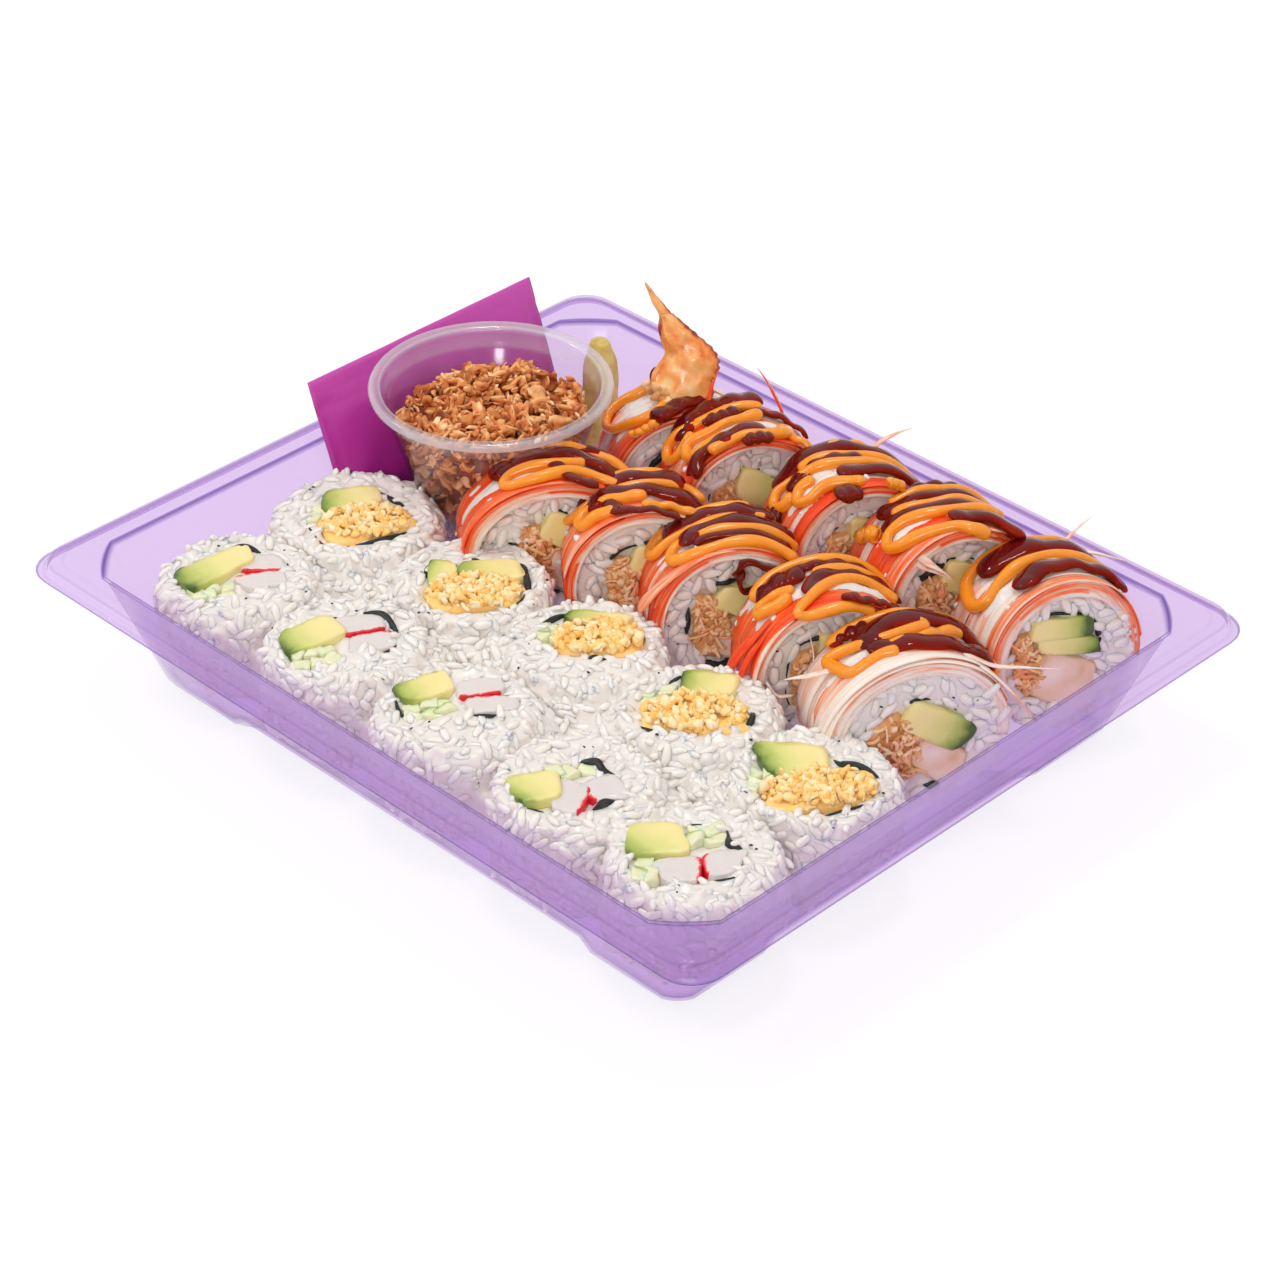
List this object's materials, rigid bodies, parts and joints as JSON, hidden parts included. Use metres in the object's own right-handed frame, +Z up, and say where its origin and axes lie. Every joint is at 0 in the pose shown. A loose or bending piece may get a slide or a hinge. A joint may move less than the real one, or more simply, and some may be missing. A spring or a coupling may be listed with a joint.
{
  "type": "takeaway sushi tray",
  "caption": "Clear plastic takeaway tray filled with sliced sushi rolls, a pot of crispy fried onions, a sauce sachet, wasabi and a fried prawn tail.",
  "frame": {"origin": "middle of the tray's footprint, on the plane of its feet", "axes": "+X along the tray's long side, +Y along its short side towards the slices that lie on their side, +Z up"},
  "size_m": [0.2546, 0.214, 0.0804],
  "materials": {
    "tray_plastic": "clear tinted thermoformed sheet, glossy",
    "pot_plastic": "clear moulded plastic, glossy",
    "fried_onion": "dry crispy crumbs with an oily glint",
    "sachet_film": "printed laminate film, satin gloss",
    "wasabi_paste": "moist paste",
    "fried_prawn": "thin crisp shell with batter, oily",
    "sushi_rice": "moist sticky grains",
    "crab_roll": "moist crab stick sheet over rice, with glossy sauce"
  },
  "bodies": {
    "root": {"tray": "tray_plastic", "onion_pot": "pot_plastic", "fried_onions": "fried_onion", "sauce_sachet": "sachet_film", "wasabi": "wasabi_paste", "prawn_tail": "fried_prawn", "roll_a1": "sushi_rice", "roll_a2": "sushi_rice", "roll_a3": "sushi_rice", "roll_a4": "sushi_rice", "roll_a5": "sushi_rice", "roll_b1": "sushi_rice", "roll_b2": "sushi_rice", "roll_b3": "sushi_rice", "roll_b4": "sushi_rice", "roll_b5": "sushi_rice", "roll_c1": "crab_roll", "roll_c2": "crab_roll", "roll_c3": "crab_roll", "roll_c4": "crab_roll", "roll_c5": "crab_roll", "roll_d1": "crab_roll", "roll_d2": "crab_roll", "roll_d3": "crab_roll", "roll_d4": "crab_roll", "roll_d5": "crab_roll"}
  },
  "joints": []
}
